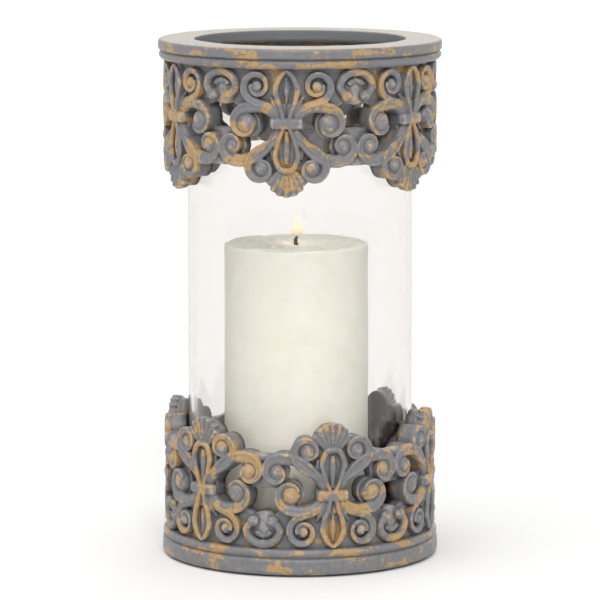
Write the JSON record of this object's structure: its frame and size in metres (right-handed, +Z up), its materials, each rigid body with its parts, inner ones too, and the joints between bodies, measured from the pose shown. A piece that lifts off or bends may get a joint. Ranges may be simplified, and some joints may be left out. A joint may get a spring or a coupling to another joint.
{
  "type": "pillar candle holder",
  "caption": "Hurricane pillar candle holder: glass chimney between a tray and a collar, both cast with pierced scroll and fleur crowns, with a pillar candle inside.",
  "frame": {"origin": "on the surface the holder stands on, on the holder's axis", "axes": "+Z up along the holder's axis, front towards -Y, +X to the right of a person facing the front"},
  "size_m": [0.1484, 0.1484, 0.2727],
  "materials": {
    "polystone": "distressed grey paint over ochre",
    "glass": "clear polished",
    "wax": "smooth translucent",
    "wick": "braided, charred at the tip",
    "tin": "plain",
    "felt": "matted"
  },
  "bodies": {
    "base": {"base_tray": "polystone", "base_fleur_1": "polystone", "base_fleur_2": "polystone", "base_fleur_3": "polystone", "base_fleur_4": "polystone", "base_fleur_5": "polystone", "base_fleur_6": "polystone", "felt_pad_1": "felt", "felt_pad_2": "felt", "felt_pad_3": "felt", "felt_pad_4": "felt"},
    "chimney": {"glass_chimney": "glass"},
    "collar": {"collar_ring": "polystone", "collar_fleur_1": "polystone", "collar_fleur_2": "polystone", "collar_fleur_3": "polystone", "collar_fleur_4": "polystone", "collar_fleur_5": "polystone", "collar_fleur_6": "polystone"},
    "candle": {"candle_wax": "wax", "candle_wick": "wick", "wick_clip": "tin"}
  },
  "joints": [
    {"name": "chimney_lift", "type": "slide", "parent": "base", "child": "chimney", "axis": [0, 0, 1], "range_m": [0, 0.175]},
    {"name": "collar_lift", "type": "slide", "parent": "chimney", "child": "collar", "axis": [0, 0, 1], "range_m": [0, 0.085]},
    {"name": "candle_lift", "type": "slide", "parent": "base", "child": "candle", "axis": [0, 0, 1], "range_m": [0, 0.28]}
  ]
}
